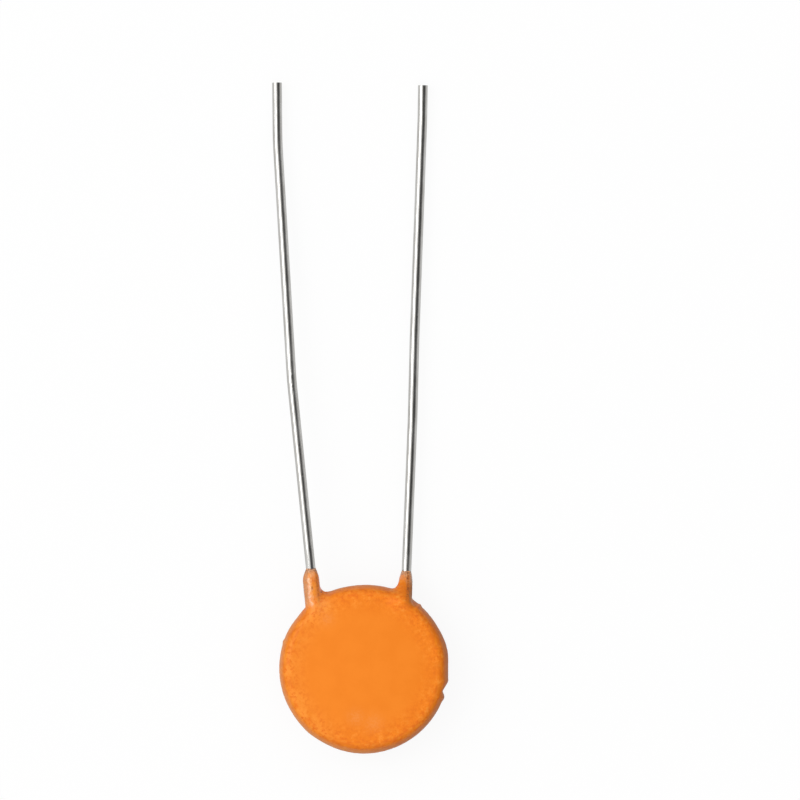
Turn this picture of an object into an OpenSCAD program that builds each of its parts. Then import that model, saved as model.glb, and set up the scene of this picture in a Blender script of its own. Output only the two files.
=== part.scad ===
// Ceramic disc capacitor with radial wire leads.
// It lies on its back face: the disc's axis is +Z and both leads run towards +Y.
// The origin is the middle of the flat back face. All sizes are in millimetres.

/* [Coated disc] */
// Diameter of the coated disc
coat_d = 8.82; // [8.4:0.02:12]
// Thickness between the flat back and the top of the oval rim
rim_t = 2.4; // [2.3:0.05:3]
// Width of the oval rim, outside the flat back
rim_w = 0.6; // [0.52:0.02:1]
// Radius of its two corners, between the faces and its gently curved side
corner_r = 0.42; // [0.3:0.02:0.46]
// How far the front face swells above the rim
face_dome = 0.12; // [0.04:0.01:0.3]

/* [Chip in the rim] */
// Depth of the chip
chip_depth = 0.14; // [0.04:0.01:0.25]
// Radius of the upright hollow that the chip leaves
chip_r = 0.3; // [0.15:0.05:0.6]
// Where the chip lies round the rim, as an angle from +X towards +Y
chip_at = -16; // [-170:0.5:10]

/* [Coating on the leads] */
// How far the coating climbs the front lead past the disc's top edge
front_climb = 0.82; // [0.5:0.02:2]
// How far the coating climbs the back lead past the disc's top edge
back_climb = 0.68; // [0.5:0.02:2]
// Length over which it swells from a thin edge to its full wall
swell_l = 0.65; // [0.2:0.05:1]
// Thickness of that thin edge
edge_wall = 0.02; // [0.01:0.01:0.05]
// Wall on the front lead's inner side
front_inner_wall = 0.09; // [0.05:0.01:0.3]
// Wall on the front lead's outer side
front_outer_wall = 0.19; // [0.05:0.01:0.3]
// Wall on the back lead's inner side
back_inner_wall = 0.12; // [0.05:0.01:0.3]
// Wall on the back lead's outer side
back_outer_wall = 0.05; // [0.05:0.01:0.3]
// Width of the fillet at the foot of each lead, along the disc's edge
fillet_w = 0.6; // [0.1:0.02:0.7]
// Height of that fillet along the front lead
front_fillet_h = 0.7; // [0.1:0.02:0.9]
// Height of that fillet along the back lead
back_fillet_h = 0.8; // [0.1:0.02:0.9]

/* [Ceramic and electrodes] */
// Diameter of the ceramic disc
ceramic_d = 7.2; // [6.6:0.1:7.6]
// Thickness of the ceramic disc
ceramic_t = 0.5; // [0.3:0.05:0.65]
// Width of bare ceramic left round each silver electrode
electrode_margin = 0.35; // [0.2:0.05:0.5]
// Thickness of each silver electrode
electrode_t = 0.02; // [0.01:0.005:0.05]

/* [Leads] */
// Diameter of the lead wire
wire_d = 0.5; // [0.4:0.05:0.6]
// Distance between the leads where the coating stops
lead_pitch = 5; // [4.5:0.1:5.4]
// How far the middle between the leads lies from the disc's middle
lead_shift = -0.26; // [-0.4:0.02:0.4]
// Angle at which the front lead splays outwards
front_splay = 5.8; // [0:0.1:8]
// Angle at which the back lead splays outwards
back_splay = 2.3; // [0:0.1:8]
// Free length before each lead begins to dip to the surface that it lies on
dip_at = 0.8; // [0.5:0.1:4]
// Radius of that dip
dip_bend_r = 6; // [3:0.5:12]
// Length of the front lead from its dip to its first turn inwards
front_run_l = 8.3; // [5:0.05:12]
// Angle of that turn
front_turn = 2.4; // [-4:0.05:4]
// Length on to its second turn
front_mid_l = 11.65; // [8:0.05:15]
// Angle of the second turn
front_tip_turn = 2.8; // [-4:0.05:4]
// Length on to its tip
front_tip_l = 2.5; // [1:0.05:5]
// Length of the back lead from its dip to its first turn inwards
back_run_l = 6.8; // [4:0.05:10]
// Angle of that turn
back_turn = 0.9; // [-4:0.05:4]
// Length on to its second turn, which leads outwards
back_mid_l = 3.9; // [2:0.05:8]
// Angle of the second turn
back_mid_turn = -0.65; // [-4:0.05:4]
// Length on to its third turn
back_long_l = 11.2; // [8:0.05:15]
// Angle of the third turn
back_tip_turn = 1.15; // [-4:0.05:4]
// Length on to its tip
back_tip_l = 1.6; // [1:0.05:5]
// Radius of all those gentle turns
turn_r = 20; // [5:1:30]

/* [Soldered ends] */
// Thickness of solder between each wire and its electrode
solder_film = 0.03; // [0.02:0.01:0.1]
// Radius of each solder mound
solder_r = 0.62; // [0.58:0.01:0.7]
// Length of each solder mound between its rounded ends
solder_l = 1.4; // [0.5:0.1:2]
// Length of wire between the coating's edge and its turn to the disc's middle
seat_at = 2.7; // [2.4:0.1:3]
// Angle of that turn
seat_turn = 24; // [10:1:30]
// Radius of that turn
seat_bend_r = 2; // [1:0.1:3]
// Length of the straight wire end that lies on the electrode
seat_l = 3; // [2.6:0.1:4]

/* [Hidden] */

$fn = 96;
dome_fn = 360;

coat_r = coat_d / 2;
rim_r = rim_t / 2;
flat_r = coat_r - rim_w;
wire_r = wire_d / 2;
ceramic_r = ceramic_d / 2;
electrode_r = ceramic_r - electrode_margin;

// Heights above the ceramic's middle plane, the same towards both faces
electrode_z = ceramic_t / 2;
seat_z = electrode_z + electrode_t;
wire_z = seat_z + solder_film + wire_r;

// A straight length of wire laps over its bends, which are a hair thinner
lap = 0.04;
bend_relief = 0.002;

resin_orange = [0.96, 0.54, 0.17];
ceramic_tan = [0.78, 0.7, 0.6];
silver_white = [0.88, 0.88, 0.86];
solder_grey = [0.66, 0.67, 0.68];
tinned_grey = [0.8, 0.8, 0.8];

// ---- the two sides ----
// Both sides are drawn as the front one is: left of the middle and above the ceramic's
// middle plane at z = 0. The back side is then given half a turn about the Y axis.
// Each list below holds the front lead's value, then the back lead's.

front = 0;
back = 1;
coat_edge = [[lead_shift - lead_pitch / 2, coat_r + front_climb, wire_z],
             [-lead_shift - lead_pitch / 2, coat_r + back_climb, wire_z]];
splay = [front_splay, back_splay];
inner_wall = [front_inner_wall, back_inner_wall];
outer_wall = [front_outer_wall, back_outer_wall];
fillet_h = [front_fillet_h, back_fillet_h];
runs = [[front_run_l, front_mid_l, front_tip_l],
        [back_run_l, back_mid_l, back_long_l, back_tip_l]];
turns = [[front_turn, front_tip_turn],
         [back_turn, back_mid_turn, back_tip_turn]];

module place(side) {
    translate([0, 0, rim_r])
        rotate([0, 180 * side, 0])
            children();
}

// Carries children to where the coating stops on a lead: +Z runs out along the wire,
// +X points at the other lead and +Y at the ceramic.
module at_coat_edge(side) {
    translate(coat_edge[side])
        rotate([0, 0, splay[side]])
            rotate([-90, 0, 0])
                children();
}

// Carries children on inwards to where the wire's straight end starts: +Z runs inwards
// along the wire and -Y points at the electrode.
module at_seat(side) {
    at_coat_edge(side)
        rotate([180, 0, 0])
            translate([seat_bend_r, 0, seat_at])
                rotate([0, seat_turn, 0])
                    translate([-seat_bend_r, 0, 0])
                        children();
}

// ---- leads ----

// A wire that starts along +Z. Each step is [straight length, angle of the bend after
// it, radius of the bend, direction that it turns to, from +X towards +Y].
module wire(steps, i = 0) {
    step = steps[i];
    bend_r = step[2];
    translate([0, 0, -lap])
        cylinder(h = step[0] + 2 * lap, r = wire_r);
    if (i < len(steps) - 1)
        translate([0, 0, step[0]])
            rotate([0, 0, step[3]])
                translate([bend_r, 0, 0]) {
                    rotate([90, 0, 180])
                        rotate_extrude(angle = step[1])
                            translate([bend_r, 0])
                                circle(wire_r - bend_relief);
                    rotate([0, step[1], 0])
                        translate([-bend_r, 0, 0])
                            rotate([0, 0, -step[3]])
                                wire(steps, i + 1);
                }
}

function sum(list, i = 0) = i < len(list) ? list[i] + sum(list, i + 1) : 0;
function turn_l(turn) = turn_r * abs(turn) * PI / 180;

// The dip that brings a lead's tip down to the surface under the flat back
reach = [for (s = [front, back]) sum(runs[s]) + sum([for (t = turns[s]) turn_l(t)])];
wire_height = [rim_r + wire_z, rim_r - wire_z];
dip = [for (s = [front, back])
    acos((dip_bend_r - wire_height[s]) / norm([dip_bend_r - wire_r, reach[s]]))
        - atan2(reach[s], dip_bend_r - wire_r)];
down = [90, -90];

module lead(side) {
    last = len(turns[side]);
    color(tinned_grey)
        place(side)
            at_coat_edge(side) {
                wire([[dip_at, dip[side], dip_bend_r, down[side]],
                      for (i = [0 : last - 1])
                          let (t = turns[side][i])
                          [runs[side][i], abs(t), turn_r, t > 0 ? 0 : 180],
                      [runs[side][last]]]);
                rotate([180, 0, 0])
                    wire([[seat_at, seat_turn, seat_bend_r, 0], [seat_l]]);
            }
}

// ---- ceramic, electrodes and solder ----

module ceramic_disc() {
    color(ceramic_tan)
        translate([0, 0, rim_r - ceramic_t / 2])
            cylinder(h = ceramic_t, r = ceramic_r);
}

module electrode(side) {
    color(silver_white)
        place(side)
            translate([0, 0, electrode_z])
                cylinder(h = electrode_t, r = electrode_r);
}

// A mound over the wire's end: round-ended, with a flat foot on the electrode
module solder_mound(side) {
    place(side)
        intersection() {
            at_seat(side)
                translate([0, seat_z - wire_z, (seat_l - solder_l) / 2]) {
                    cylinder(h = solder_l, r = solder_r);
                    sphere(solder_r);
                    translate([0, 0, solder_l])
                        sphere(solder_r);
                }
            translate([0, 0, seat_z])
                cylinder(h = 2 * solder_r, r = coat_r);
        }
}

module solder(side) {
    color(solder_grey)
        difference() {
            solder_mound(side);
            lead(side);
        }
}

// ---- coated disc ----

// The rim's corners are centred at this height over the middle and under it
corner_z = rim_r - corner_r;
// The side's arc takes over from them where both have the same slope
side_r = (pow(rim_w, 2) + pow(rim_r, 2) - 2 * rim_r * corner_r) / (2 * (rim_w - corner_r));
side_x = coat_r - side_r;
side_a = atan2(corner_z, flat_r - side_x);
// So does the dome's arc, over the flat's edge
crown_z = rim_r + face_dome;
dome_r = corner_r + (pow(flat_r, 2) + pow(face_dome, 2)) / (2 * face_dome);
dome_a = asin(flat_r / (dome_r - corner_r));

// The part of a circle that lies in an outline
module arc_part(centre, r, outline, sides = $fn) {
    intersection() {
        translate(centre)
            circle(r, $fn = sides);
        polygon(outline);
    }
}

// Half section: a flat back, an oval rim of three arcs and a front that swells to a dome
module disc_section() {
    past = 2 * rim_r;
    low = [flat_r, -corner_z];
    high = [flat_r, corner_z];
    low_out = low + past * [cos(side_a), -sin(side_a)];
    high_out = high + past * [cos(side_a), sin(side_a)];
    high_up = high + past * [sin(dome_a), cos(dome_a)];
    translate([0, -rim_r])
        square([flat_r, rim_r]);
    arc_part(low, corner_r, [low, low - [0, past], low_out]);
    arc_part([side_x, 0], side_r, [low, low_out, high_out, high]);
    arc_part(high, corner_r, [high, high_out, high_up]);
    arc_part([0, crown_z - dome_r], dome_r, [[0, 0], [flat_r, 0], high, high_up, [0, past]], dome_fn);
}

module coated_disc() {
    translate([0, 0, rim_r])
        rotate_extrude()
            disc_section();
}

module rim_chip() {
    rotate([0, 0, chip_at])
        translate([coat_r + chip_r - chip_depth, 0, 0])
            cylinder(h = rim_t, r = chip_r);
}

// ---- coating on a lead ----
// A loft of rings round the wire: from the thin edge, over the swelling, round the
// fillet at the disc's edge and on into the disc. Directions round the wire are angles
// from the inner side, towards the other lead, to the side away from the ceramic.

ring_sides = 32;
swell_rings = 6;
fillet_rings = 6;
// The fillet is widest where the wire's inner side faces the middle of the rim, and
// shrinks to the least one on the other sides
fillet_lean = 50;
least_fillet = 0.04;
// A fillet starts no nearer to the thin edge than this share of the swelling
start_share = 0.25;
// How far the fillet's toe and the loft's end sink into the disc
toe_sink = 0.015;
end_sink = 0.1;

// How far the disc reaches from its axis at the height z, and along Y in the plane x
function rim_reach(z) = abs(z) < side_r * sin(side_a)
    ? side_x + sqrt(pow(side_r, 2) - pow(z, 2))
    : flat_r + sqrt(max(pow(corner_r, 2) - pow(abs(z) - corner_z, 2), 0));
function edge_y(x, z) = sqrt(max(pow(rim_reach(z), 2) - pow(x, 2), 0));

// A point at a depth below the coating's edge, at a radius and direction from the wire
function beside(side, depth, r, a) =
    let (s = splay[side])
    coat_edge[side]
        + depth * [sin(s), -cos(s), 0]
        + r * [cos(a) * cos(s), cos(a) * sin(s), sin(a)];

// The depth at which a line along the wire meets the disc's edge, by repeated steps
first_depth = 1;
steps_in = 5;
function meets(side, r, a, depth = first_depth, steps = steps_in) =
    let (p = beside(side, depth, r, a))
    steps == 0 ? depth
        : meets(side, r, a, depth + (p[1] - edge_y(p[0], p[2])) / cos(splay[side]), steps - 1);

function mix(low, high, share) = low + (high - low) * share;
function wall(side, a) = mix(outer_wall[side], inner_wall[side], (1 + cos(a)) / 2);
function loft_r(side, depth, a) =
    wire_r + mix(edge_wall, wall(side, a), sin(90 * min(depth / swell_l, 1)));
function fillet_share(a) = pow((1 + cos(a + fillet_lean)) / 2, 2);
function bezier(a, b, c, t) = (1 - t) * (1 - t) * a + 2 * t * (1 - t) * b + t * t * c;

// One line of the loft from the coating's edge to the fillet's toe, as [depth, radius]
function loft_line(side, a) =
    let (
        foot = meets(side, loft_r(side, swell_l, a), a),
        rise = mix(least_fillet, fillet_h[side], fillet_share(a)),
        start = max(foot - rise, start_share * swell_l),
        r = loft_r(side, start, a),
        toe_r = r + mix(least_fillet, fillet_w, fillet_share(a)),
        toe = meets(side, toe_r, a) + toe_sink
    )
    [for (i = [0 : swell_rings - 1])
        let (depth = start * i / swell_rings) [depth, loft_r(side, depth, a)],
     for (i = [0 : fillet_rings])
        bezier([start, r], [foot, r], [toe, toe_r], i / fillet_rings)];

module coated_lead(side) {
    angles = [for (i = [0 : ring_sides - 1]) 360 * i / ring_sides];
    lines = [for (a = angles) loft_line(side, a)];
    toe = len(lines[0]) - 1;
    end = max([for (line = lines) line[toe][0]]) + end_sink;
    points = [
        for (k = [0 : toe]) for (i = [0 : ring_sides - 1])
            beside(side, lines[i][k][0], lines[i][k][1], angles[i]),
        for (i = [0 : ring_sides - 1])
            beside(side, end, lines[i][toe][1], angles[i])
    ];
    faces = [
        [for (i = [0 : ring_sides - 1]) i],
        for (k = [0 : toe]) for (i = [0 : ring_sides - 1])
            let (j = (i + 1) % ring_sides, low = k * ring_sides, high = low + ring_sides)
            [low + i, high + i, high + j, low + j],
        [for (i = [ring_sides - 1 : -1 : 0]) (toe + 1) * ring_sides + i]
    ];
    place(side)
        polyhedron(points, faces);
}

module resin_coating() {
    color(resin_orange)
        difference() {
            union() {
                coated_disc();
                coated_lead(front);
                coated_lead(back);
            }
            rim_chip();
            ceramic_disc();
            for (side = [front, back]) {
                electrode(side);
                solder_mound(side);
                lead(side);
            }
        }
}

resin_coating();
ceramic_disc();
electrode(front);  // front_electrode
electrode(back);  // back_electrode
solder(front);  // front_solder
solder(back);  // back_solder
lead(front);  // front_lead
lead(back);  // back_lead
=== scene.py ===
import math
import bmesh
import bpy
import numpy as np
from mathutils import Matrix, Vector, noise


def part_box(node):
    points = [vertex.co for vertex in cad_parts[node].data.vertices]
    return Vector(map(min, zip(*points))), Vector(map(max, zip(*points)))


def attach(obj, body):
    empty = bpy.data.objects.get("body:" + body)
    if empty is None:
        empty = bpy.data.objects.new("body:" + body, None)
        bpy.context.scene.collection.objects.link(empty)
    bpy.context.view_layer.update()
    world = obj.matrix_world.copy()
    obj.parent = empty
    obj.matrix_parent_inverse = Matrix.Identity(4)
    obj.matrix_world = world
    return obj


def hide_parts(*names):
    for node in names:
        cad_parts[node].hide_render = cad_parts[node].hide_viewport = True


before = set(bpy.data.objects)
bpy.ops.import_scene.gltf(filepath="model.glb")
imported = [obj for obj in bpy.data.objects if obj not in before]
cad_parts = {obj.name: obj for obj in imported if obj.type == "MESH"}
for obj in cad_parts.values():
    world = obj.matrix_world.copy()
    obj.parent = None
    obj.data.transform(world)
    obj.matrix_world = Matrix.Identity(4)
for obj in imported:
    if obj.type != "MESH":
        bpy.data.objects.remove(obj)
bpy.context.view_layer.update()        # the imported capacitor: one body, eight nodes
scene = bpy.context.scene
print("frame loaded:", sorted(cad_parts))

# Shapes are worked out in millimetres, on the frame's axes, and brought to metres when a piece is finished
mm = 0.001
front, back = "front", "back"


def inMillimetres(corner):
    return np.array(corner) / mm


coatLow, coatHigh = [inMillimetres(corner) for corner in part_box("resin_coating")]
ceramicLow, ceramicHigh = [inMillimetres(corner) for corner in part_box("ceramic_disc")]
coatRadius = -coatLow[0]
midHeight = (ceramicLow[2] + ceramicHigh[2]) / 2

# What both pieces share: how each lead leaves the coating. Splay leans it outwards, bends turn it inwards.
wire = {"radius": 0.25, "pitch": 5.0, "shift": -0.26, "dipAt": 0.8, "dipBend": 6.0, "turnBend": 20.0,
        "seatAt": 2.7, "seatTurn": 24.0, "seatBend": 2.0, "seatLength": 3.04, "tipExtra": 0.04}
leads = {
    front: {"node": "front_lead", "side": -1, "climb": 0.82, "splay": 5.8, "height": 0.55,
            "runs": (8.3, 11.65, 2.5), "turns": (2.4, 2.8)},
    back: {"node": "back_lead", "side": 1, "climb": 0.68, "splay": 2.3, "height": -0.55,
           "runs": (6.8, 3.9, 11.2, 1.6), "turns": (0.9, -0.65, 1.15)},
}


def leadAxes(lead):
    # The middle of the wire where the coating stops, the way out along it and the way to the other lead
    lean = math.radians(lead["splay"])
    edge = np.array([wire["shift"] + lead["side"] * wire["pitch"] / 2,
                     coatRadius + lead["climb"], midHeight + lead["height"]])
    outward = np.array([lead["side"] * math.sin(lean), math.cos(lean), 0.0])
    inner = np.array([-lead["side"] * math.cos(lean), math.sin(lean), 0.0])
    return edge, outward, inner


def finishPiece(name, mesh, node, material=None):
    # Metres, one object at the origin, in the place of its node
    mesh.transform(Matrix.Scale(mm, 4))
    mesh.update()
    piece = bpy.data.objects.new(name, mesh)
    scene.collection.objects.link(piece)
    if material:
        mesh.materials.clear()
        mesh.materials.append(material)
    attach(piece, "root")
    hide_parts(node)


def linearColour(red, green, blue):
    # From 0-255 display values to the linear colour that a shader takes
    def channel(value):
        share = value / 255
        return share / 12.92 if share <= 0.04045 else ((share + 0.055) / 1.055) ** 2.4
    return (channel(red), channel(green), channel(blue), 1.0)


class NodeMaker:
    # Keeps each recipe short: every call adds one node and gives back its output
    def __init__(self, tree):
        self.tree = tree

    def feed(self, socket, value):
        if isinstance(value, bpy.types.NodeSocket):
            self.tree.links.new(value, socket)
        elif value is not None:
            socket.default_value = value

    def add(self, kind, inputs=None, **settings):
        node = self.tree.nodes.new(kind)
        for key, value in settings.items():
            setattr(node, key, value)
        for key, value in (inputs or {}).items():
            self.feed(node.inputs[key], value)
        return node

    def math(self, operation, *values):
        node = self.add("ShaderNodeMath", operation=operation)
        for socket, value in zip(node.inputs, values):
            self.feed(socket, value)
        return node.outputs[0]

    def times(self, first, second):
        return self.math("MULTIPLY", first, second)

    def vectorMath(self, operation, *values, output=0):
        node = self.add("ShaderNodeVectorMath", operation=operation)
        for socket, value in zip(node.inputs, values):
            self.feed(socket, value)
        return node.outputs[output]

    def parts(self, vector):
        return self.add("ShaderNodeSeparateXYZ", {0: vector}).outputs

    def ranged(self, value, low, high, toLow=0.0, toHigh=1.0):
        node = self.add("ShaderNodeMapRange", {"Value": value, "From Min": low, "From Max": high,
                                               "To Min": toLow, "To Max": toHigh},
                        interpolation_type="SMOOTHSTEP")
        return node.outputs[0]

    def noise(self, vector, scale, detail=2.0, roughness=0.5):
        return self.add("ShaderNodeTexNoise", {"Vector": vector, "Scale": scale, "Detail": detail,
                                               "Roughness": roughness}).outputs[0]

    def scaled(self, vector, scale):
        return self.add("ShaderNodeMapping", {"Vector": vector, "Scale": scale}).outputs[0]

    def attribute(self, name, output):
        return self.add("ShaderNodeAttribute", attribute_name=name).outputs[output]

    def coordinates(self, output="Object"):
        return self.add("ShaderNodeTexCoord").outputs[output]

    def mix(self, share, first, second):
        node = self.add("ShaderNodeMix", data_type="RGBA")
        for index, value in ((0, share), (6, first), (7, second)):
            self.feed(node.inputs[index], value)
        return node.outputs[2]

    def bump(self, height, strength, distance):
        return self.add("ShaderNodeBump", {"Height": height, "Strength": strength,
                                           "Distance": distance}).outputs[0]

    def principled(self, inputs):
        return self.add("ShaderNodeBsdfPrincipled", inputs).outputs[0]


def makeMaterial(name, recipe):
    # The recipe takes a NodeMaker and gives back the surface shader
    material = bpy.data.materials.new(name)
    material.use_nodes = True
    tree = material.node_tree
    tree.nodes.clear()
    maker = NodeMaker(tree)
    maker.add("ShaderNodeOutputMaterial", {"Surface": recipe(maker)})
    return material


view = {"imageWidth": 41.78, "centre": (1.90, 14.0), "distance": 1200.0, "sensor": 36.0,
        "clip": (0.01, 10.0)}


def makeCamera():
    data = bpy.data.cameras.new("camera")
    data.sensor_width = view["sensor"]
    data.lens = view["sensor"] * view["distance"] / view["imageWidth"]
    data.clip_start, data.clip_end = view["clip"]
    camera = bpy.data.objects.new("camera", data)
    camera.location = (view["centre"][0] * mm, view["centre"][1] * mm, (view["distance"] + midHeight) * mm)
    scene.collection.objects.link(camera)
    scene.camera = camera


# Strengths of light, in the dome as seen from the part: a reach is where it starts and where it is full
studio = {"floorSize": 6.0, "floorHeight": -0.00001, "floorTone": 0.04, "floorVary": 1.04, "floorSeen": 0.95,
          "floorGrain": 40.0, "floorReach": (0.3, 0.7), "floorRoughness": 0.9,
          "glowSeen": 0.9, "glowInMetal": 0.8, "paleReach": (0.4, 0.1),
          "domeTop": 1.0, "domeFull": 0.55, "lowLeft": 1.0, "lowRight": 0.0, "leftReach": (-0.8, 0.0),
          "lowFar": 0.85, "farReach": (0.15, 0.6), "farFade": (0.5, 0.1),
          "darkSpot": 0.08, "darkAt": (0.48, 0.06), "darkSize": (0.5, 0.2), "darkReach": (0.6, 1.35),
          "keyPower": 0.48, "keyTilt": 43.0, "keyTurn": 160.0, "keyDistance": 0.5, "keySize": 0.3}


def makeFloor():
    half = studio["floorSize"] / 2
    height = studio["floorHeight"]
    mesh = bpy.data.meshes.new("floor")
    corners = [(-half, -half, height), (half, -half, height), (half, half, height), (-half, half, height)]
    mesh.from_pydata(corners, [], [(0, 1, 2, 3)])
    floor = bpy.data.objects.new("floor", mesh)
    scene.collection.objects.link(floor)

    def recipe(maker):
        # White to the eye and in the metal, a darker board to the object itself, with its shadow kept
        path = maker.add("ShaderNodeLightPath").outputs
        mirrored = maker.math("MAXIMUM", path["Is Glossy Ray"], path["Is Transmission Ray"])
        grain = maker.noise(maker.coordinates(), studio["floorGrain"])
        light = studio["floorTone"] * studio["floorVary"]
        tone = maker.ranged(grain, *studio["floorReach"], studio["floorTone"], light)
        tone = maker.add("ShaderNodeMix", {"Factor": path["Is Camera Ray"], "A": tone,
                                           "B": studio["floorSeen"]}).outputs[0]
        board = maker.principled({"Base Color": tone, "Roughness": studio["floorRoughness"],
                                  "Specular IOR Level": 0.0})
        share = maker.math("ADD", maker.times(path["Is Camera Ray"], studio["glowSeen"]),
                           maker.times(mirrored, studio["glowInMetal"]))
        glow = maker.add("ShaderNodeEmission").outputs[0]
        return maker.add("ShaderNodeMixShader", {0: share, 1: board, 2: glow}).outputs[0]

    mesh.materials.append(makeMaterial("paleFloor", recipe))


def makeWorld():
    # A soft dome that is dim low on the right, with a dark place overhead where the lens would be
    world = bpy.data.worlds.new("studio")
    world.use_nodes = True
    world.node_tree.nodes.clear()
    maker = NodeMaker(world.node_tree)
    toX, toY, toZ = maker.parts(maker.coordinates("Generated"))
    low = maker.ranged(toX, *studio["leftReach"], studio["lowLeft"], studio["lowRight"])
    far = maker.ranged(maker.math("ABSOLUTE", toY), *studio["farReach"], 0.0, studio["lowFar"])
    far = maker.times(far, maker.ranged(toX, *studio["farFade"]))
    low = maker.math("MAXIMUM", low, far)
    dome = maker.ranged(toZ, 0.0, studio["domeFull"], low, studio["domeTop"])
    offX = maker.math("DIVIDE", maker.math("SUBTRACT", toX, studio["darkAt"][0]), studio["darkSize"][0])
    offY = maker.math("DIVIDE", maker.math("SUBTRACT", toY, studio["darkAt"][1]), studio["darkSize"][1])
    off = maker.math("SQRT", maker.math("ADD", maker.times(offX, offX), maker.times(offY, offY)))
    light = maker.times(dome, maker.ranged(off, *studio["darkReach"], studio["darkSpot"], 1.0))
    path = maker.add("ShaderNodeLightPath").outputs
    mirrored = maker.math("MAXIMUM", path["Is Glossy Ray"], path["Is Transmission Ray"])
    pale = maker.ranged(toZ, *studio["paleReach"], 0.0, studio["glowInMetal"])
    light = maker.math("MAXIMUM", light, maker.times(mirrored, pale))
    strength = maker.add("ShaderNodeMix", {"Factor": path["Is Camera Ray"], "A": light,
                                           "B": 1.0}).outputs[0]
    background = maker.add("ShaderNodeBackground", {"Color": (1, 1, 1, 1), "Strength": strength})
    maker.add("ShaderNodeOutputWorld", {"Surface": background.outputs[0]})
    scene.world = world


def makeKeyLamp():
    # A round softbox to the left: tilt is counted from straight overhead, turn from +X towards +Y
    data = bpy.data.lights.new("keyLamp", "AREA")
    data.shape = "DISK"
    data.size = studio["keySize"]
    data.energy = studio["keyPower"]
    lamp = bpy.data.objects.new("keyLamp", data)
    tilt, turn = math.radians(studio["keyTilt"]), math.radians(studio["keyTurn"])
    away = Vector((math.sin(tilt) * math.cos(turn), math.sin(tilt) * math.sin(turn), math.cos(tilt)))
    lamp.location = away * studio["keyDistance"]
    lamp.rotation_mode = "QUATERNION"
    lamp.rotation_quaternion = away.to_track_quat("Z", "Y")
    scene.collection.objects.link(lamp)


scene.view_settings.view_transform = "Standard"
makeCamera()
makeFloor()
makeWorld()
makeKeyLamp()
print("camera, floor and lights ready")


leadLook = {"ringStep": 0.045, "sides": 48, "arcStep": 3.0, "sharpEdge": 30.0, "waver": 0.0016,
            "waverScale": 1.6, "seed": 4.0, "tone": (196, 194, 190), "bright": (214, 213, 210),
            "brightReach": (0.35, 0.7), "streak": (150, 146, 138), "streakReach": (0.62, 0.8),
            "streakShare": 0.35, "tint": 0.75, "roughReach": (0.3, 0.75), "roughness": (0.1, 0.17),
            "streakBump": 0.7, "fineBump": 0.3, "bump": 0.2, "bumpHeight": 0.00001}
# Noises on the drawn-out wire: how much it is stretched, then scale, detail and roughness
leadGrains = {"streaks": ((9, 9, 0.35), 3.0, 3.0, 0.6), "fine": ((40, 40, 2.0), 2.0, 2.0, 0.5),
              "dullAndEdgeLight": ((1, 1, 0.4), 2.2, 3.0, 0.5)}
# Marks of pliers on the leads' upper side: place, half width, half length and depth; below zero it is a burr
plierMarks = [(-3.785, 15.29, 0.035, 0.08, -0.015), (-3.75, 14.755, 0.03, 0.05, -0.015),
              (-3.69, 14.42, 0.05, 0.10, 0.003), (-3.34, 13.32, 0.03, 0.06, 0.005),
              (-3.75, 12.59, 0.03, 0.07, 0.005), (-3.36, 11.60, 0.03, 0.05, 0.004),
              (-3.20, 10.08, 0.03, 0.06, 0.005), (2.82, 18.40, 0.03, 0.06, 0.004)]


def leadPath(lead):
    # Points along the wire's middle, from its soldered end to its tip
    edge, outward, inner = leadAxes(lead)
    spot = edge - outward * wire["seatAt"]
    heading, turnTo = -outward, inner
    seat = [spot]

    def arc(spot, heading, turnTo, angle, radius):
        middle = spot + turnTo * radius
        count = max(2, math.ceil(abs(angle) / leadLook["arcStep"]))
        points = []
        for step in range(1, count + 1):
            share = math.radians(angle) * step / count
            points.append(middle - turnTo * radius * math.cos(share) + heading * radius * math.sin(share))
        share = math.radians(angle)
        newHeading = heading * math.cos(share) + turnTo * math.sin(share)
        newTurn = turnTo * math.cos(share) - heading * math.sin(share)
        return points, newHeading, newTurn

    points, heading, turnTo = arc(spot, heading, turnTo, wire["seatTurn"], wire["seatBend"])
    seat += points
    seat.append(seat[-1] + heading * wire["seatLength"])
    path = seat[::-1] + [edge]
    reach = sum(lead["runs"]) + sum(math.radians(abs(t)) * wire["turnBend"] for t in lead["turns"])
    height = edge[2]
    arm = wire["dipBend"] - wire["radius"]
    dip = math.acos((wire["dipBend"] - height) / math.hypot(arm, reach)) - math.atan2(reach, arm)
    spot, heading = edge + outward * wire["dipAt"], outward
    path.append(spot)
    down = np.array([0.0, 0.0, -1.0])
    points, heading, down = arc(spot, heading, down, math.degrees(dip), wire["dipBend"])
    path += points
    for index, run in enumerate(lead["runs"]):
        path.append(path[-1] + heading * run)
        if index < len(lead["turns"]):
            turn = lead["turns"][index]
            points, heading, side = arc(path[-1], heading, inner * np.sign(turn), abs(turn), wire["turnBend"])
            path += points
            inner = side * np.sign(turn)
    path[-1] = path[-1] + heading * wire["tipExtra"]
    return path


def pathCurve(name, points):
    curve = bpy.data.curves.new(name, "CURVE")
    curve.dimensions = "3D"
    spline = curve.splines.new("POLY")
    spline.points.add(len(points) - 1)
    for point, place in zip(spline.points, points):
        point.co = (*place, 1.0)
    holder = bpy.data.objects.new(name, curve)
    scene.collection.objects.link(holder)
    return holder


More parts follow.
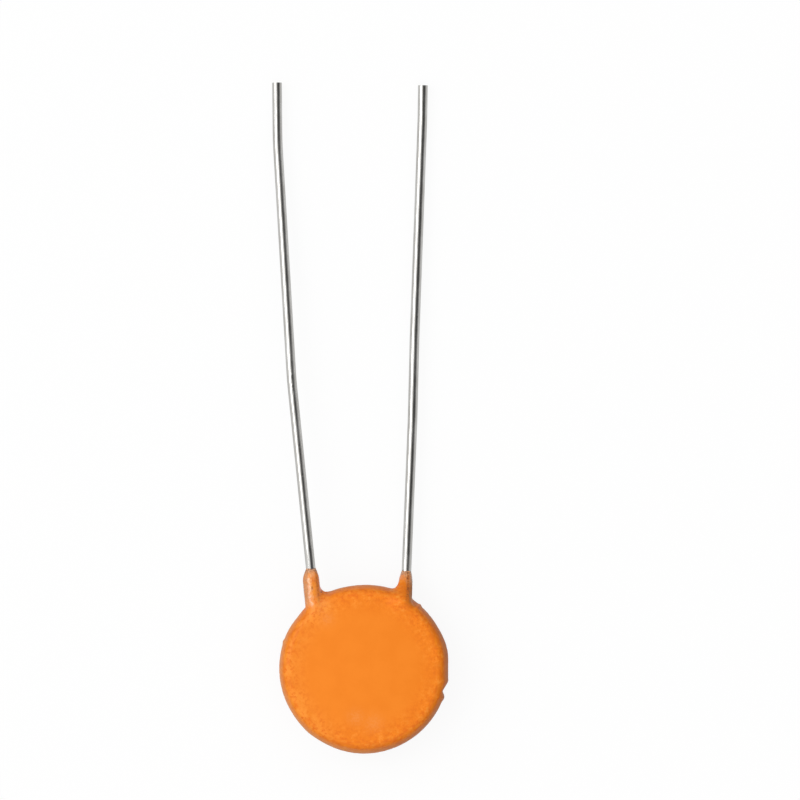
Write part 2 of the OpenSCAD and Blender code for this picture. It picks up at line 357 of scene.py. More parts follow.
def drawnWireTree():
    tree = bpy.data.node_groups.new("drawnWire", "GeometryNodeTree")
    for name, kind, value in (("Geometry", "Geometry", None), ("Radius", "Float", wire["radius"]),
                              ("Ring step", "Float", leadLook["ringStep"]),
                              ("Sides", "Int", leadLook["sides"]), ("Waver", "Float", leadLook["waver"]),
                              ("Waver scale", "Float", leadLook["waverScale"]),
                              ("Seed", "Float", leadLook["seed"]), ("Finish", "Material", None)):
        socket = tree.interface.new_socket(name=name, in_out="INPUT", socket_type="NodeSocket" + kind)
        if value is not None:
            socket.default_value = value
    tree.interface.new_socket(name="Geometry", in_out="OUTPUT", socket_type="NodeSocketGeometry")
    maker = NodeMaker(tree)
    given = maker.add("NodeGroupInput").outputs
    even = maker.add("GeometryNodeResampleCurve", {"Curve": given["Geometry"], "Length": given["Ring step"]},
                     mode="LENGTH").outputs[0]
    along = maker.add("GeometryNodeSplineParameter").outputs["Length"]
    marked = maker.add("GeometryNodeStoreNamedAttribute",
                       {"Geometry": even, "Name": "along", "Value": along},
                       data_type="FLOAT", domain="POINT").outputs[0]
    ring = maker.add("GeometryNodeCurvePrimitiveCircle", {"Resolution": given["Sides"],
                                                          "Radius": given["Radius"]})
    place = maker.add("GeometryNodeInputPosition").outputs[0]
    ring = maker.add("GeometryNodeStoreNamedAttribute",
                     {"Geometry": ring.outputs[0], "Name": "around", "Value": place},
                     data_type="FLOAT_VECTOR", domain="POINT").outputs[0]
    swept = maker.add("GeometryNodeCurveToMesh", {"Curve": marked, "Profile Curve": ring, "Fill Caps": True})

    # Drawn wire is never quite straight or round: a slow waver along it
    grain = maker.add("ShaderNodeTexNoise",
                      {"Vector": place, "W": given["Seed"], "Scale": given["Waver scale"]},
                      noise_dimensions="4D").outputs[0]
    push = maker.times(maker.math("SUBTRACT", grain, 0.5), given["Waver"])
    normal = maker.add("GeometryNodeInputNormal").outputs[0]
    offset = maker.add("ShaderNodeVectorMath", {0: normal, "Scale": push}, operation="SCALE").outputs[0]
    moved = maker.add("GeometryNodeSetPosition", {"Geometry": swept.outputs[0], "Offset": offset}).outputs[0]
    real = maker.add("GeometryNodeRealizeInstances", {0: moved}).outputs[0]
    finished = maker.add("GeometryNodeSetMaterial", {"Geometry": real,
                                                     "Material": given["Finish"]}).outputs[0]
    maker.add("NodeGroupOutput", {"Geometry": finished})
    return tree


def runTree(holder, tree, values):
    # Sets the named inputs by their identifiers, takes the result as a plain mesh and drops the holder
    modifier = holder.modifiers.new(tree.name, "NODES")
    modifier.node_group = tree
    for item in tree.interface.items_tree:
        if item.item_type == "SOCKET" and item.in_out == "INPUT" and item.name in values:
            modifier[item.identifier] = values[item.name]
    holder.update_tag()
    graph = bpy.context.evaluated_depsgraph_get()
    mesh = bpy.data.meshes.new_from_object(holder.evaluated_get(graph), preserve_all_data_layers=True,
                                           depsgraph=graph)
    holder.modifiers.remove(modifier)
    bpy.data.objects.remove(holder)
    return mesh


def vertexTable(mesh):
    places = np.empty(len(mesh.vertices) * 3)
    mesh.vertices.foreach_get("co", places)
    return places.reshape(-1, 3)


def storeVertices(mesh, places):
    mesh.vertices.foreach_set("co", places.ravel())
    mesh.update()


def storeFloat(mesh, name, values):
    layer = mesh.attributes.new(name, "FLOAT", "POINT")
    layer.data.foreach_set("value", values.astype(np.float32))


def readAttribute(mesh, name, width):
    data = mesh.attributes[name].data
    values = np.empty(len(data) * width)
    data.foreach_get("vector" if width == 3 else "value", values)
    return values.reshape(-1, width) if width == 3 else values


def straighten(mesh):
    # The wire as if drawn out straight: a vector attribute that the streaks follow
    around = readAttribute(mesh, "around", 3)
    along = readAttribute(mesh, "along", 1)
    layer = mesh.attributes.new("drawn", "FLOAT_VECTOR", "POINT")
    layer.data.foreach_set("vector", np.column_stack([around[:, :2], along]).astype(np.float32).ravel())


def pressMarks(mesh):
    places = vertexTable(mesh)
    normals = np.array([vertex.normal for vertex in mesh.vertices])
    for x, y, halfWidth, halfLength, depth in plierMarks:
        near = ((places[:, 0] - x) / halfWidth) ** 2 + ((places[:, 1] - y) / halfLength) ** 2
        upward = np.clip(normals[:, 2], 0, 1)
        places -= normals * (depth * np.exp(-near) * upward)[:, None]
    storeVertices(mesh, places)


def tinnedWire(maker):
    # Grey tin with dull clouds, and faint streaks that run along the wire
    drawn = maker.attribute("drawn", "Vector")
    grains = {}
    for name, (stretch, scale, detail, roughness) in leadGrains.items():
        grains[name] = maker.noise(maker.scaled(drawn, stretch), scale, detail, roughness)
    tone = maker.mix(maker.ranged(grains["dullAndEdgeLight"], *leadLook["brightReach"]), linearColour(*leadLook["tone"]),
                     linearColour(*leadLook["bright"]))
    streaked = maker.ranged(grains["streaks"], *leadLook["streakReach"], 0.0, leadLook["streakShare"])
    tone = maker.mix(streaked, tone, linearColour(*leadLook["streak"]))
    height = maker.math("ADD", maker.times(grains["streaks"], leadLook["streakBump"]),
                        maker.times(grains["fine"], leadLook["fineBump"]))
    tint = leadLook["tint"]
    return maker.principled({
        "Base Color": tone, "Metallic": 1.0, "Specular Tint": (tint, tint, tint, 1.0),
        "Roughness": maker.ranged(grains["dullAndEdgeLight"], *leadLook["roughReach"], *leadLook["roughness"]),
        "Normal": maker.bump(height, leadLook["bump"], leadLook["bumpHeight"])})


def makeLeads():
    tree = drawnWireTree()
    finish = makeMaterial("tinnedWire", tinnedWire)
    for name, lead in leads.items():
        holder = pathCurve(name + "Path", leadPath(lead))
        mesh = runTree(holder, tree, {
            "Radius": wire["radius"], "Ring step": leadLook["ringStep"], "Sides": leadLook["sides"],
            "Waver": leadLook["waver"], "Waver scale": leadLook["waverScale"],
            "Seed": leadLook["seed"] + lead["side"], "Finish": finish})
        straighten(mesh)
        pressMarks(mesh)
        mesh.shade_smooth()
        mesh.set_sharp_from_angle(angle=math.radians(leadLook["sharpEdge"]))
        mesh.name = name + "Lead"
        finishPiece(name + "Lead", mesh, lead["node"])
        print(name, "lead:", len(mesh.polygons), "faces")


# The coating in millimetres and degrees; a ragged wave is its count about the wire and its start in radians
coat = {"halfRim": 1.2, "rimWidth": 0.6, "corner": 0.42, "swellPower": 6, "swellFall": 1.2,
        "swell": 0.65, "toeBlend": 0.08, "lean": 50.0, "tipHidden": 0.12, "tipCorner": 0.05, "under": 0.012,
        "neckLength": 2.4, "ragged": 0.026, "raggedWaves": ((3, 0.7), (7, 2.1)), "webLength": 1.55,
        "sunkLength": 0.8,
        "chipAt": -16.4, "chipDepth": 0.12, "chipUpper": 58.0, "chipLower": -64.0, "chipSoft": 0.07,
        "humpHeight": 0.03, "humpWidth": 0.5, "humpStart": 1.0, "humpMiddle": 0.6, "humpReach": 1.8,
        "peel": 0.007, "peelSize": 0.2, "peelFrom": 2.6, "peelOver": 1.6, "peelLeast": 0.15,
        "fine": 0.012, "fineSize": 0.09, "fineInside": 0.2, "fineOver": 0.3,
        "filmInside": 0.24, "filmOutside": 0.5, "tipLength": 0.45, "paintFade": 0.6, "sideShadeEdge": 0.08,
        "neckReach": 0.7, "neckFoot": 0.9, "neckFade": 0.3}
# How the mesh is made: the rough body's stubs and turns, then its remesh and how each vertex settles
blank = {"stubWall": 0.08, "stubTaper": 0.3, "stubLength": 1.2, "stubTurns": 24, "stubs": 10,
         "discTurns": 96, "rimStep": 10, "voxel": 0.05, "passes": 2, "rounds": 12,
         "slopeStep": 0.004, "longestMove": 0.06, "leastSlope": 0.05}
# Side tone: painted shade on the back neck's right, a painted grey reflection on the front neck's left
necks = {
    front: {"innerWall": 0.13, "outerWall": 0.23, "innerBlend": 0.85, "web": 0.16, "sunkAt": 1.8,
            "topBlend": 0.3, "filmLength": 2.4, "sideShadeLength": 2.1, "sideShadeAt": 0.16, "sideShade": 0.6,
            # The dark band along each neck is a painted dark reflection of the wire below
            "darkBandAt": 0.26, "darkBandWidth": 0.07, "darkBand": 0.7},
    back: {"innerWall": 0.13, "outerWall": 0.085, "innerBlend": 0.8, "web": 1.36, "sunkAt": 1.7,
           "topBlend": 0.35, "filmLength": 1.0, "sideShadeLength": 1.9, "sideShadeAt": 0.14, "sideShade": 1.0,
           "darkBandAt": -0.10, "darkBandWidth": 0.08, "darkBand": 1.0},
}
# Where the dipped rim swells or falls back: angle from +X towards +Y, half width in degrees, height
rimSwells = [(-50, 72, 0.05), (96, 21, -0.072), (142, 9, -0.04), (15, 12, 0.052), (1, 6, -0.024),
             (-9.5, 3, 0.045), (-92, 24, 0.028), (-131, 8, 0.02), (161.5, 1.6, 0.045), (-20.5, 2.2, 0.045),
             (48.2, 1.3, 0.05)]


def discDistance(points):
    # Signed distance from the coated disc: a flat back, an oval rim of three arcs and a domed front
    halfRim, width, corner = coat["halfRim"], coat["rimWidth"], coat["corner"]
    angle = np.degrees(np.arctan2(points[:, 1], points[:, 0]))
    radius = np.hypot(points[:, 0], points[:, 1])
    swell = np.zeros(len(points))
    for at, half, height in rimSwells:
        off = (angle - at + 180) % 360 - 180
        swell += height * np.exp(-(off / half) ** 2 * coat["swellFall"])
    outer = coatRadius + swell * np.clip(radius / coatRadius, 0, 1) ** coat["swellPower"]
    stretched = radius * coatRadius / outer
    height = points[:, 2] - halfRim
    flat = coatRadius - width
    sideRadius = (width ** 2 + halfRim ** 2 - 2 * halfRim * corner) / (2 * (width - corner))
    sideMiddle = coatRadius - sideRadius
    cornerHeight = halfRim - corner
    swap = math.atan2(cornerHeight, flat - sideMiddle)
    dome = coatHigh[2] - 2 * halfRim
    domeRadius = corner + (flat ** 2 + dome ** 2) / (2 * dome)
    lean = math.asin(flat / (domeRadius - corner))
    side = np.hypot(stretched - sideMiddle, height) - sideRadius
    bend = np.hypot(stretched - flat, np.abs(height) - cornerHeight) - corner
    top = np.hypot(stretched, height - halfRim - dome + domeRadius) - domeRadius
    onSide = np.arctan2(np.abs(height), stretched - sideMiddle) < swap
    onTop = (stretched - flat) * math.cos(lean) < (height - cornerHeight) * math.sin(lean)
    upper = np.where(onTop, top, bend)
    lower = np.where(stretched < flat, -height - halfRim, bend)
    face = np.where(height > 0, upper, lower)
    return np.where(onSide, side, face)


def aroundNeck(points, lead, neck):
    # Way towards the other lead, depth below the coating's edge, and distance and angle about the wire. A web
    # of resin stands on the wire and climbs to the disc's face: over the wire these count from the web's top.
    edge, outward, inner = leadAxes(lead)
    local = points - edge
    depth, side, above = -(local @ outward), local @ inner, local[:, 2]
    sunk = np.clip((depth - neck["sunkAt"]) / coat["sunkLength"], 0, 1)
    web = neck["web"] * np.clip(depth / coat["webLength"], 0, 1) * (1 - sunk)
    above = above - np.clip(above, 0, web)
    return side, depth, np.hypot(side, above), np.arctan2(above, side)


def neckDistance(points, lead, neck):
    depth, radial, angle = aroundNeck(points, lead, neck)[1:]
    (coarse, coarseStart), (fine, fineStart) = coat["raggedWaves"]
    waves = np.sin(coarse * angle + coarseStart) + np.sin(fine * angle + fineStart + lead["side"])
    ragged = depth + coat["ragged"] * waves
    fullWall = neck["outerWall"] + (neck["innerWall"] - neck["outerWall"]) * (1 + np.cos(angle)) / 2
    rise = np.sin(np.pi / 2 * np.clip(ragged / coat["swell"], 0, 1))
    wall = -coat["under"] + (fullWall + coat["under"]) * rise
    skin = radial - wire["radius"] - wall
    end = np.maximum(-depth - coat["tipHidden"], depth - coat["neckLength"])
    return smoothUnion(skin, end, -coat["tipCorner"]), angle


def smoothUnion(first, second, blend):
    # A positive blend fillets the union; a negative one rounds the intersection
    size = np.maximum(np.abs(blend), 1e-6)
    share = np.maximum(size - np.abs(first - second), 0) / size
    fillet = share ** 2 * size / 4
    union = np.minimum(first, second) - fillet
    common = np.maximum(first, second) + fillet
    return np.where(np.asarray(blend) > 0, union, common)


def humpHeight(points, lead):
    # The wire's buried end lifts the face over it by a hair
    edge, outward, inner = leadAxes(lead)
    start = edge - outward * (wire["seatAt"] - coat["humpStart"])
    turn = math.radians(wire["seatTurn"])
    heading = -outward * math.cos(turn) + inner * math.sin(turn)
    local = points - start
    along = local @ heading
    across = np.linalg.norm(local[:, :2] - np.outer(along, heading[:2]), axis=1)
    fade = np.clip(1 - np.abs(along - coat["humpMiddle"]) / coat["humpReach"], 0, 1)
    fade = fade * fade * (3 - 2 * fade)
    return coat["humpHeight"] * np.exp(-(across / coat["humpWidth"]) ** 2) * fade


def chipDistance(points):
    # An upright notch in the rim between two slopes that meet at its deepest line
    turn, reach = math.radians(coat["chipAt"]), coatRadius - coat["chipDepth"]
    local = points[:, :2] - np.array([reach * math.cos(turn), reach * math.sin(turn)])
    upper, lower = math.radians(coat["chipUpper"]), math.radians(coat["chipLower"])
    past = local @ np.array([math.sin(upper), -math.cos(upper)])
    above = local @ np.array([-math.sin(lower), math.cos(lower)])
    return smoothUnion(-past, -above, -coat["chipSoft"])


def coatingDistance(points):
    body = discDistance(points)
    onTop = points[:, 2] > midHeight
    body = body - np.where(onTop, humpHeight(points, leads[front]), 0)
    lean = math.radians(coat["lean"])
    for name, lead in leads.items():
        neck = necks[name]
        distance, angle = neckDistance(points, lead, neck)
        share = ((1 + np.cos(angle + lean * np.sign(lead["height"]))) / 2) ** 2
        blend = coat["toeBlend"] + (neck["innerBlend"] - coat["toeBlend"]) * share
        blend = blend + neck["topBlend"] * np.clip(np.sin(angle), 0, 1) ** 2
        body = smoothUnion(body, distance, blend)
    return smoothUnion(body, -chipDistance(points), -coat["chipSoft"])


def lathe(profile, turns):
    # A closed solid of revolution about Z from (radius, height) points that start and end on the axis
    mesh = bmesh.new()
    rings = []
    for radius, height in profile[1:-1]:
        ring = []
        for k in range(turns):
            turn = 2 * math.pi * k / turns
            ring.append(mesh.verts.new((radius * math.cos(turn), radius * math.sin(turn), height)))
        rings.append(ring)
    for low, high in zip(rings[:-1], rings[1:]):
        for k in range(turns):
            mesh.faces.new((low[k], low[(k + 1) % turns], high[(k + 1) % turns], high[k]))
    for ring, height in ((rings[0], profile[0][1]), (rings[-1], profile[-1][1])):
        pole = mesh.verts.new((0, 0, height))
        for k in range(turns):
            mesh.faces.new((ring[k], ring[(k + 1) % turns], pole))
    bmesh.ops.recalc_face_normals(mesh, faces=mesh.faces)
    return mesh


def coatingBlank():
    # A rough closed body that is remeshed evenly: the disc, and a stair of stubs up each web
    rimRadius = coat["halfRim"]
    flat = coatRadius - rimRadius
    profile = [(0, 0)]
    for angle in range(0, 181, blank["rimStep"]):
        turn = math.radians(angle)
        profile.append((flat + rimRadius * math.sin(turn), rimRadius - rimRadius * math.cos(turn)))
    profile.append((0, coatHigh[2]))
    body = lathe(profile, blank["discTurns"])
    thin, thick, length = wire["radius"], wire["radius"] + blank["stubWall"], blank["stubLength"]
    stubProfile = [(0, 0), (thin, 0), (thick, blank["stubTaper"]), (thick, length), (0, length)]
    for name, lead in leads.items():
        edge, outward = leadAxes(lead)[:2]
        turn = Vector(-outward).to_track_quat("Z", "Y").to_matrix().to_4x4()
        for share in np.linspace(0, 1, blank["stubs"]):
            start = edge + outward * (coat["tipHidden"] - coat["webLength"] * share)
            start[2] += necks[name]["web"] * share
            stub = lathe(stubProfile, blank["stubTurns"])
            stub.transform(Matrix.Translation(Vector(start)) @ turn)
            spare = bpy.data.meshes.new("stub")
            stub.to_mesh(spare)
            body.from_mesh(spare)
            stub.free()
            bpy.data.meshes.remove(spare)
    mesh = bpy.data.meshes.new("coatingBlank")
    body.to_mesh(mesh)
    body.free()
    return mesh


def evenMesh(mesh, voxel):
    holder = bpy.data.objects.new("blank", mesh)
    scene.collection.objects.link(holder)
    remesh = holder.modifiers.new("even", "REMESH")
    remesh.mode = "VOXEL"
    remesh.voxel_size = voxel
    graph = bpy.context.evaluated_depsgraph_get()
    result = bpy.data.meshes.new_from_object(holder.evaluated_get(graph))
    bpy.data.objects.remove(holder)
    return result


def settle(mesh, distance):
    # Moves each vertex along the distance's slope until it lies on the surface, and gives the normals too
    places = vertexTable(mesh)
    step = blank["slopeStep"]
    for turn in range(blank["rounds"]):
        now = distance(places)
        slope = np.empty_like(places)
        for axis in range(3):
            shift = np.zeros(3)
            shift[axis] = step
            slope[:, axis] = (distance(places + shift) - distance(places - shift)) / (2 * step)
        size = np.maximum((slope ** 2).sum(axis=1), blank["leastSlope"])
        move = slope * (now / size)[:, None]
        length = np.maximum(np.linalg.norm(move, axis=1), 1e-9)
        places -= move * np.minimum(1, blank["longestMove"] / length)[:, None]
    print("largest miss after settling:", float(np.abs(distance(places)).max()))
    return places, slope / np.linalg.norm(slope, axis=1)[:, None]


# Pits that burst in the wet resin: place on the upper side, half width, half length and depth
pits = [(-2.67, 4.165, 0.028, 0.07, 0.03), (2.295, 4.69, 0.05, 0.06, 0.02), (2.21, 4.94, 0.04, 0.04, 0.015),
        (2.33, 4.16, 0.03, 0.05, 0.01), (2.18, 5.01, 0.03, 0.03, 0.01), (-2.20, 3.98, 0.04, 0.04, 0.015)]
# Where the face is painted paler: place and reach. The last two are a painted highlight over the
# front lead's buried ridge
paleAndHighlitSpots = [(-0.40, -2.56, 0.40), (0.54, -2.87, 0.45), (-2.25, 3.30, 0.50), (-1.90, 2.60, 0.35)]


def spotStrength(places, x, y, halfWidth, halfLength):
    away = ((places[:, 0] - x) / halfWidth) ** 2 + ((places[:, 1] - y) / halfLength) ** 2
    return np.exp(-away) * (places[:, 2] > midHeight)


def roughen(places, normals):
    # Orange peel all over and stronger towards the rim, a finer grain on the rim and the necks, and the pits
    radius = np.hypot(places[:, 0], places[:, 1])
    grain = np.array([noise.noise(Vector(place) / coat["peelSize"]) for place in places])
    towardsRim = np.clip((radius - coat["peelFrom"]) / coat["peelOver"], coat["peelLeast"], 1)
    lift = grain * coat["peel"] * towardsRim
    beyond = radius - coatRadius + coat["fineInside"]
    onRim = np.flatnonzero(beyond > 0)
    fine = np.array([noise.noise(Vector(places[index]) / coat["fineSize"]) for index in onRim])
    lift[onRim] += fine * coat["fine"] * np.clip(beyond[onRim] / coat["fineOver"], 0, 1)
    for x, y, halfWidth, halfLength, depth in pits:
        lift -= depth * spotStrength(places, x, y, halfWidth, halfLength)
    return places + normals * lift[:, None]


# From 0 to 1 at each vertex: film over the wire, its tip, the neck, painted side shade, painted dark
# reflection, pits, and pale spots that are partly painted highlights
paintNames = ("bare", "tip", "necked", "shadedSide", "darkBanded", "pitted", "paledAndHighlit")


def paintLayers(places):
    layers = {name: np.zeros(len(places)) for name in paintNames}

    def lay(name, values):
        layers[name] = np.maximum(layers[name], values)

    for name, lead in leads.items():
        neck = necks[name]
        side, depth, radial = aroundNeck(places, lead, neck)[:3]
        reach = np.where(side > 0, coat["filmInside"], coat["filmOutside"])
        film = np.clip((radial - wire["radius"]) / reach, 0, 1)
        lay("bare", (1 - film) * np.clip((neck["filmLength"] - depth) / coat["paintFade"], 0, 1))
        lay("tip", (film < 1) * np.clip(1 - depth / coat["tipLength"], 0, 1))
        foot = np.clip((coat["neckFoot"] - radial) / coat["neckFade"], 0, 1)
        lay("necked", foot * (depth < coat["neckLength"]))
        fade = np.clip((neck["sideShadeLength"] - depth) / coat["paintFade"], 0, 1) * (radial < coat["neckReach"])
        # Painted shade on the back neck's right side, a painted grey reflection on the front neck's left side
        lay("shadedSide", neck["sideShade"] * fade * np.clip((-side - neck["sideShadeAt"]) / coat["sideShadeEdge"], 0, 1))
        # A painted dark reflection: the wire's dark band along each neck
        darkBand = np.exp(-((side - neck["darkBandAt"]) / neck["darkBandWidth"]) ** 2)
        lay("darkBanded", neck["darkBand"] * fade * darkBand)
    for pit in pits:
        lay("pitted", spotStrength(places, *pit[:-1]))
    for x, y, reach in paleAndHighlitSpots:
        lay("paledAndHighlit", spotStrength(places, x, y, reach, reach))
    return layers


# Colours are display values and lengths metres; a reach is where something starts and where it is full
resin = {"plain": (246, 132, 18), "plainWarm": (249, 136, 24), "cloudReach": (0.3, 0.7),
         "rim": (250, 131, 8), "rimReach": (0.0026, 0.0041), "rimShare": 0.7, "acrossReach": (-0.004, 0.004),
         # A painted sheen on the rim's upper left, on the side the lamp lights
         "paintedSheen": (252, 150, 46), "sheenSide": (0.4, 0.05), "sheenUp": (0.0018, 0.0023), "sheenShare": 0.75,
         "streaksFrom": (0.0034, 0.0040), "streaksTo": (0.0043, 0.00415), "streakPatches": (0.42, 0.6),
         "streakLeast": 0.1, "streakTurns": 7.0, "streakRings": 6000.0, "streakDetail": 3.0,
         # At the rim's very edge: a painted sheen on the left and painted shade on the right
         "streakRoughness": 0.6, "edgeSheenLeft": (228, 194, 130), "edgeShadeRight": (74, 82, 60),
         "edgeReach": (0.00418, 0.00437), "edgeShading": 0.24, "filmReach": (0.15, 0.8), "dotReach": (0.1, 0.6),
         "burntDark": (112, 64, 34), "burntPale": (224, 160, 110), "burntReach": (0.4, 0.58),
         # The pit tone is painted shade in each pit's hollow
         "tipRagged": 0.8, "tipReach": (0.55, 1.4), "pit": (120, 56, 16), "pitShadeShare": 0.85,
         "shineFrom": (0.1, 0.7), "shineReach": (0.38, 0.56), "shineLeast": 0.45, "roughness": (0.42, 0.5),
         "refraction": 1.5, "specular": 0.25, "shineRoughness": 0.15, "shineRefraction": 1.9,
         "bump": 0.4, "bumpHeight": 0.00003}
# Noises that break the colours up: scale, detail and roughness
resinGrains = {"cloud": (900.0, 3.0, 0.5), "drift": (1500.0, 3.0, 0.5), "peel": (2600.0, 2.0, 0.5),
               "blotch": (5200.0, 4.0, 0.65), "speckle": (9000.0, 2.0, 0.5), "specks": (15000.0, 1.0, 0.5)}
# Colours laid one over the other: where, the grain, its reach, the least and the most of it, the colour
rimColours = [("rim", "blotch", (0.5, 0.63), (0.0, 0.9), (236, 110, 4)),
              ("rim", "blotch", (0.48, 0.35), (0.0, 0.8), (255, 156, 52)),
              ("rim", "drift", (0.4, 0.62), (0.0, 0.6), (240, 124, 10)),
              ("streaked", "streaks", (0.5, 0.62), (0.0, 0.4), (226, 104, 2)),
              ("streaked", "streaks", (0.46, 0.36), (0.0, 0.4), (255, 146, 10))]
# Pale spots, two of them a painted highlight, then painted side shade, a painted dark reflection and specks
markColours = [("paledAndHighlit", "speckle", (0.35, 0.7), (0.15, 0.45), (250, 158, 84)),
               ("film", "blotch", (0.42, 0.57), (0.1, 1.0), (250, 163, 74)),
               ("shadedSide", "speckle", (0.3, 0.6), (0.6, 1.0), (178, 114, 58)),
               ("darkBanded", "speckle", (0.36, 0.6), (0.4, 1.0), (184, 96, 26)),
               ("dotted", "specks", (0.6, 0.74), (0.0, 0.5), (160, 84, 34))]
# What roughens the surface: the grain, what it grows with, the reach of that, the least and the most
resinBumps = [("peel", "radius", (0.0024, 0.0042), (0.3, 1.0)),
              ("speckle", "radius", (0.0036, 0.0046), (0.3, 0.7)),
              ("specks", "bare", (0.0, 0.6), (0.0, 0.5))]


def resinNoises(maker, place, flat, radius):
    grains = {name: maker.noise(place, *given) for name, given in resinGrains.items()}
    # Streaks run round the disc, so their noise is read by direction and radius
    rings = maker.add("ShaderNodeCombineXYZ", {"Z": maker.times(radius, resin["streakRings"])})
    turns = (resin["streakTurns"], resin["streakTurns"], 0.0)
    around = maker.vectorMath("MULTIPLY_ADD", maker.vectorMath("NORMALIZE", flat), turns, rings.outputs[0])
    grains["streaks"] = maker.noise(around, 1.0, resin["streakDetail"], resin["streakRoughness"])
    return grains


def resinFields(maker, place, radius, drift):
    # Where each colour and bump lies, from 0 to 1, and the radius itself
    spots = maker.parts(place)
    fields = {name: maker.attribute(name, "Fac") for name in paintNames}
    streaked = maker.times(maker.ranged(radius, *resin["streaksFrom"]),
                           maker.ranged(radius, *resin["streaksTo"]))
    patches = maker.ranged(drift, *resin["streakPatches"], resin["streakLeast"], 1.0)
    fields.update({"radius": radius, "rim": maker.ranged(radius, *resin["rimReach"]),
                   "across": maker.ranged(spots["X"], *resin["acrossReach"]),
                   "raised": maker.ranged(spots["Z"], *resin["sheenUp"]),
                   "streaked": maker.times(streaked, patches),
                   "film": maker.ranged(fields["bare"], *resin["filmReach"]),
                   "dotted": maker.ranged(fields["bare"], *resin["dotReach"])})
    return fields


def resinTint(name):
    return linearColour(*resin[name])


def layColours(maker, colour, layers, grains, fields):
    for where, grain, reach, shares, tone in layers:
        share = maker.times(fields[where], maker.ranged(grains[grain], *reach, *shares))
        colour = maker.mix(share, colour, linearColour(*tone))
    return colour


def resinPigment(maker, grains, fields):
    # Even on the face, with a painted sheen on the rim's upper left, blotched and streaked towards the rim,
    # and at its very edge a painted sheen on the left and painted shade on the right, but not on the necks
    warm = maker.ranged(grains["cloud"], *resin["cloudReach"])
    colour = maker.mix(warm, resinTint("plain"), resinTint("plainWarm"))
    colour = maker.mix(maker.times(fields["rim"], resin["rimShare"]), colour, resinTint("rim"))
    # Painted sheen: paler on the upper left of the rim
    paintedSheen = maker.ranged(fields["across"], *resin["sheenSide"], 0.0, resin["sheenShare"])
    paintedSheen = maker.times(fields["rim"], maker.times(paintedSheen, fields["raised"]))
    colour = maker.mix(paintedSheen, colour, resinTint("paintedSheen"))
    colour = layColours(maker, colour, rimColours, grains, fields)
    # Painted sheen on the left of the very edge, painted shade on its right
    dullAndEdgeLight = maker.mix(fields["across"], resinTint("edgeSheenLeft"), resinTint("edgeShadeRight"))
    offNecks = maker.ranged(fields["necked"], 0.0, 1.0, resin["edgeShading"], 0.0)
    edgeShaded = maker.times(maker.ranged(fields["radius"], *resin["edgeReach"]), offNecks)
    return maker.mix(edgeShaded, colour, dullAndEdgeLight)


def resinMarks(maker, colour, grains, fields):
    # Pale spots and painted highlights, painted shade and painted dark reflections on the necks, specks,
    # the film that the wire pales from below, its burnt and speckled end, and painted shade in the pits
    colour = layColours(maker, colour, markColours, grains, fields)
    scorched = maker.ranged(grains["specks"], *resin["burntReach"])
    burnt = maker.mix(scorched, resinTint("burntDark"), resinTint("burntPale"))
    ragged = maker.math("ADD", fields["tip"], maker.times(grains["speckle"], resin["tipRagged"]))
    colour = maker.mix(maker.ranged(ragged, *resin["tipReach"]), colour, burnt)
    # Painted shade in the pits
    return maker.mix(maker.times(fields["pitted"], resin["pitShadeShare"]), colour, resinTint("pit"))


def filmShine(maker, grains, fields):
    # The wire lends its film some shine, in patches and not on the painted dark reflection
    shine = maker.times(maker.ranged(fields["bare"], *resin["shineFrom"]),
                        maker.ranged(grains["blotch"], *resin["shineReach"], resin["shineLeast"], 1.0))
    return maker.times(shine, maker.math("SUBTRACT", 1.0, fields["darkBanded"]))


def orangeResin(maker):
    place = maker.coordinates()
    flat = maker.scaled(place, (1, 1, 0))
    radius = maker.vectorMath("LENGTH", flat, output="Value")
    grains = resinNoises(maker, place, flat, radius)
    fields = resinFields(maker, place, radius, grains["drift"])
    pigment = resinPigment(maker, grains, fields)
    height = 0.0
    for grain, where, reach, shares in resinBumps:
        share = maker.ranged(fields[where], *reach, *shares)
        height = maker.math("ADD", height, maker.times(grains[grain], share))
    return maker.principled({
        "Base Color": resinMarks(maker, pigment, grains, fields),
        "Roughness": maker.ranged(grains["cloud"], *resin["cloudReach"], *resin["roughness"]),
        "IOR": resin["refraction"], "Specular IOR Level": resin["specular"],
        "Coat Weight": filmShine(maker, grains, fields), "Coat Roughness": resin["shineRoughness"],
        "Coat IOR": resin["shineRefraction"],
        "Normal": maker.bump(height, resin["bump"], resin["bumpHeight"])})


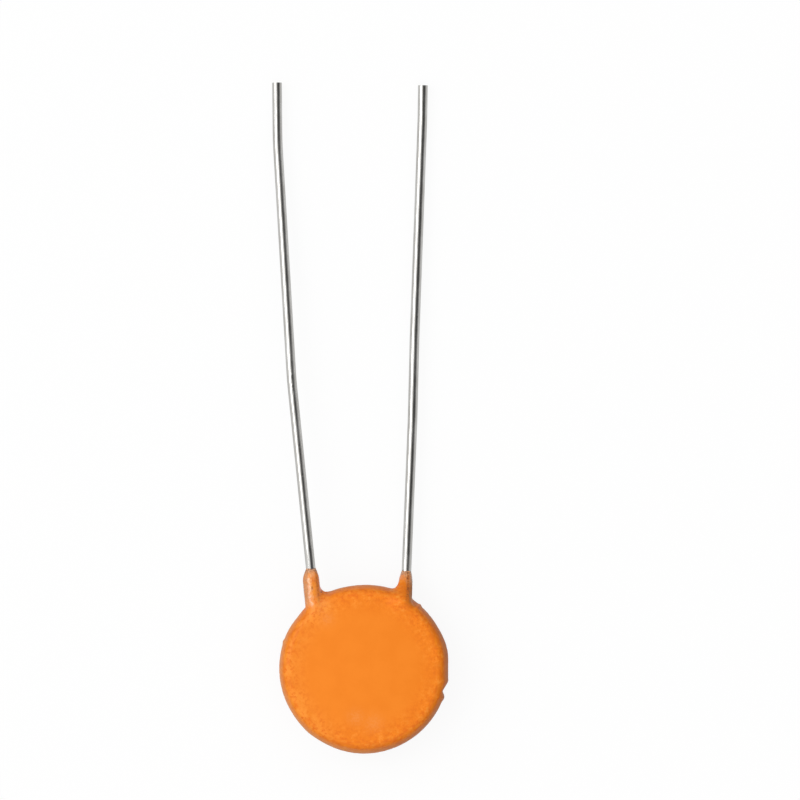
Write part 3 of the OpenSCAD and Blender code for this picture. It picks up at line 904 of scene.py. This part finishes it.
def makeCoating():
    mesh = coatingBlank()
    for turn in range(blank["passes"]):
        mesh = evenMesh(mesh, blank["voxel"])
        places, normals = settle(mesh, coatingDistance)
        storeVertices(mesh, places)
    layers = paintLayers(places)
    storeVertices(mesh, roughen(places, normals))
    for name, values in layers.items():
        storeFloat(mesh, name, values)
    mesh.shade_smooth()
    mesh.name = "resinCoating"
    finishPiece("resinCoating", mesh, "resin_coating", makeMaterial("orangeResin", orangeResin))
    print("coating:", len(mesh.polygons), "faces")


# Sealed pieces: two tones, the grain's scale and detail, the roughness or its range, and the bump's height
ceramic = {"tones": ((196, 174, 148), (214, 196, 172)), "grain": (9000.0, 3.0), "roughness": 0.8,
           "bumpHeight": 0.00001}
silver = {"tones": ((214, 212, 206), (238, 237, 232)), "grain": (14000.0, 2.0), "roughness": (0.4, 0.6),
          "bumpHeight": 0.000005}
solder = {"tones": ((160, 162, 166), (196, 198, 200)), "grain": (5000.0, 3.0), "roughness": (0.3, 0.45),
          "bumpHeight": 0.00001}
sealed = {"grainReach": (0.3, 0.7), "bump": 0.3}


def grainyInputs(maker, grain, look):
    dark, pale = look["tones"]
    return {"Base Color": maker.mix(grain, linearColour(*dark), linearColour(*pale)),
            "Normal": maker.bump(grain, sealed["bump"], look["bumpHeight"])}


def grainyMetal(maker, look):
    grain = maker.noise(maker.coordinates(), *look["grain"])
    roughness = maker.ranged(grain, *sealed["grainReach"], *look["roughness"])
    return maker.principled({**grainyInputs(maker, grain, look), "Metallic": 1.0, "Roughness": roughness})


def bareCeramic(maker):
    grain = maker.noise(maker.coordinates(), *ceramic["grain"])
    return maker.principled({**grainyInputs(maker, grain, ceramic), "Roughness": ceramic["roughness"]})


def firedSilver(maker):
    return grainyMetal(maker, silver)


def dullSolder(maker):
    return grainyMetal(maker, solder)


def finishInside():
    for recipe, nodes in ((bareCeramic, ["ceramic_disc"]),
                          (firedSilver, ["front_electrode", "back_electrode"]),
                          (dullSolder, ["front_solder", "back_solder"])):
        finish = makeMaterial(recipe.__name__, recipe)
        for name in nodes:
            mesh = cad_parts[name].data
            mesh.materials.clear()
            mesh.materials.append(finish)


makeLeads()
makeCoating()
finishInside()
print("pieces finished")
